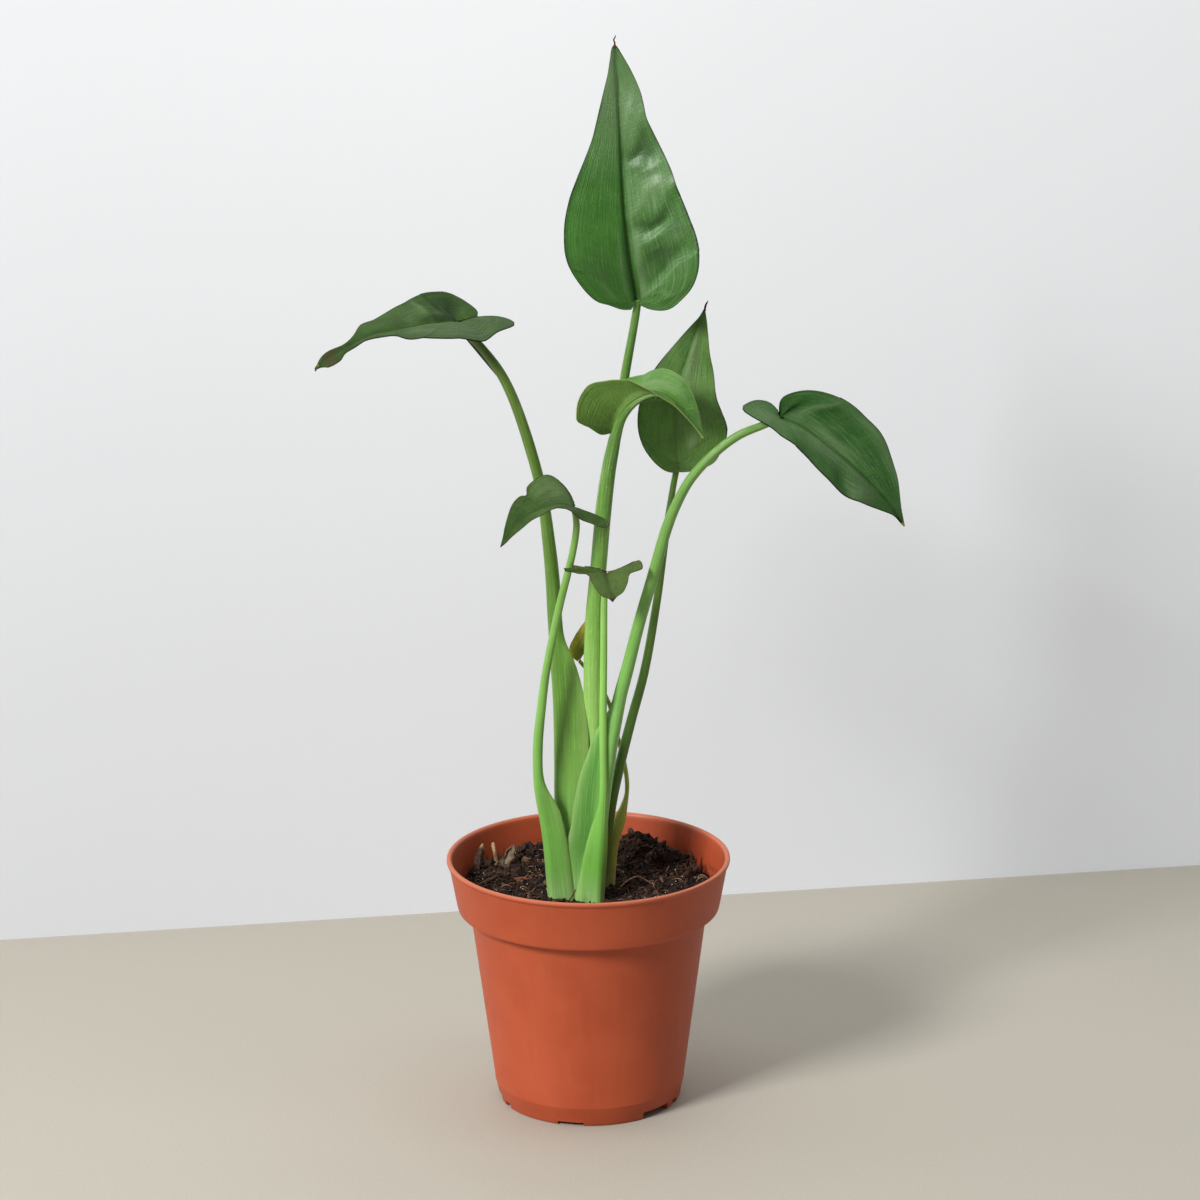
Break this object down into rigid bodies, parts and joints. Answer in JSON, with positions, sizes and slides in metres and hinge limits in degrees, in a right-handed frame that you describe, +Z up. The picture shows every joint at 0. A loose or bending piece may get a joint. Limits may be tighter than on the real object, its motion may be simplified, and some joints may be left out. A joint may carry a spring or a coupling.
{
  "type": "potted alocasia",
  "caption": "Young alocasia with arrow-shaped leaves on long sheathing stalks, growing in peat in a round tapered plastic nursery pot with a wide rim band.",
  "frame": {"origin": "middle of the footprint of the whole object, pot and foliage together, at the level the pot stands on; the pot's axis is 9.7 mm to the left of it", "axes": "+Z up along the pot's axis, -Y towards the viewer's side, +X to the viewer's right"},
  "size_m": [0.241, 0.12, 0.4528],
  "materials": {
    "terracotta_plastic": "satin moulded plastic",
    "peat_soil": "moist, crumbly peat mix",
    "corm_skin": "rough brown skin",
    "leaf_green": "glossy living leaf with sunken veins",
    "stalk_green": "smooth living stalk with a soft shine",
    "yellow_leaf": "ageing leaf, mottled yellow",
    "yellow_stalk": "ageing stalk, yellow-green",
    "dark_wood": "decayed bark and root",
    "pale_wood": "dry stripped twig",
    "dry_leaf": "dry, papery scrap of dead leaf"
  },
  "bodies": {
    "root": {"pot": "terracotta_plastic", "soil": "peat_soil", "corm": "corm_skin", "leaf_top": "leaf_green", "petiole_top": "stalk_green", "leaf_back": "leaf_green", "petiole_back": "stalk_green", "leaf_left": "leaf_green", "petiole_left": "stalk_green", "leaf_right": "leaf_green", "petiole_right": "stalk_green", "leaf_young": "leaf_green", "petiole_young": "stalk_green", "leaf_low_left": "leaf_green", "petiole_low_left": "stalk_green", "leaf_low_front": "leaf_green", "petiole_low_front": "stalk_green", "leaf_yellow": "yellow_leaf", "petiole_yellow": "yellow_stalk", "woody_stub": "dark_wood", "bark_spike": "dark_wood", "root_thread": "dark_wood", "pale_twig": "pale_wood", "dry_flake": "dry_leaf"}
  },
  "joints": []
}
